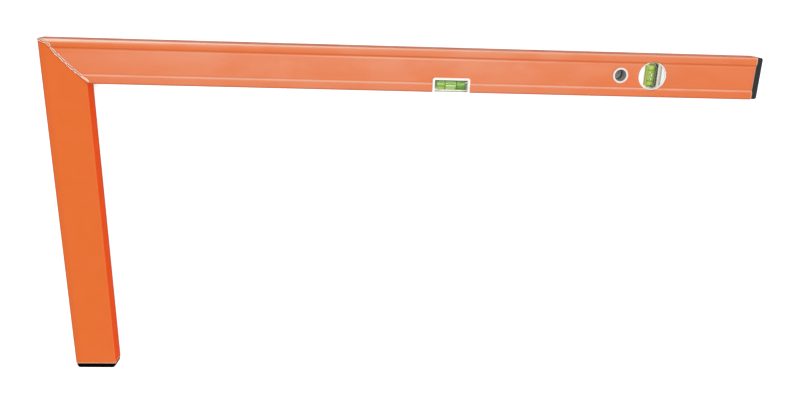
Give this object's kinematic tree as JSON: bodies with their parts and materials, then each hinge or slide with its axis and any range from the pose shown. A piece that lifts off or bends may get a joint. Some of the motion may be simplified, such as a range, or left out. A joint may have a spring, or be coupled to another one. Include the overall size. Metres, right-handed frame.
{
  "type": "builders square",
  "caption": "Right-angled builders square of two mitred, welded aluminium arms in orange powder coat, with an edge vial, a plumb vial in a round window, a hanging hole and end caps.",
  "frame": {"origin": "outer heel corner, where the two outer reference edges meet, in the plane of the rear face", "axes": "+X along the long arm, -Y along the short arm, +Z from the rear face to the front face"},
  "size_m": [1.0015, 0.5015, 0.0259],
  "materials": {
    "orange_powder_coat": "satin orange powder coat",
    "weld_bead": "thinly coated weld bead, pale",
    "black_plastic": "moulded matt black",
    "white_plastic": "moulded white, slightly glossy",
    "clear_acrylic": "clear polished acrylic",
    "green_liquid": "clear yellow-green liquid",
    "air_bubble": "air",
    "reading_line": "printed dark line"
  },
  "bodies": {
    "square": {"long_arm_tube": "orange_powder_coat", "short_arm_tube": "orange_powder_coat", "front_mitre_weld": "weld_bead", "rear_mitre_weld": "weld_bead", "long_arm_end_cap": "black_plastic", "short_arm_end_cap": "black_plastic", "front_hang_bush": "white_plastic", "rear_hang_bush": "white_plastic", "edge_vial_frame": "white_plastic", "edge_vial_body": "clear_acrylic", "edge_vial_end_plug": "clear_acrylic", "edge_vial_liquid": "green_liquid", "edge_vial_marker_rings": "reading_line", "front_window_bezel": "white_plastic", "rear_window_bezel": "white_plastic", "plumb_vial_cradle": "white_plastic", "plumb_vial_body": "clear_acrylic", "plumb_vial_end_plug": "clear_acrylic", "plumb_vial_liquid": "green_liquid", "plumb_vial_marker_rings": "reading_line"},
    "edge_bubble": {"edge_vial_bubble": "air_bubble"},
    "plumb_bubble": {"plumb_vial_bubble": "air_bubble"}
  },
  "joints": [
    {"name": "edge_bubble_slide", "type": "slide", "parent": "square", "child": "edge_bubble", "axis": [1, 0, 0], "range_m": [-0.0114, 0.0114]},
    {"name": "plumb_bubble_slide", "type": "slide", "parent": "square", "child": "plumb_bubble", "axis": [0, 1, 0], "range_m": [-0.00665, 0.00665]}
  ]
}
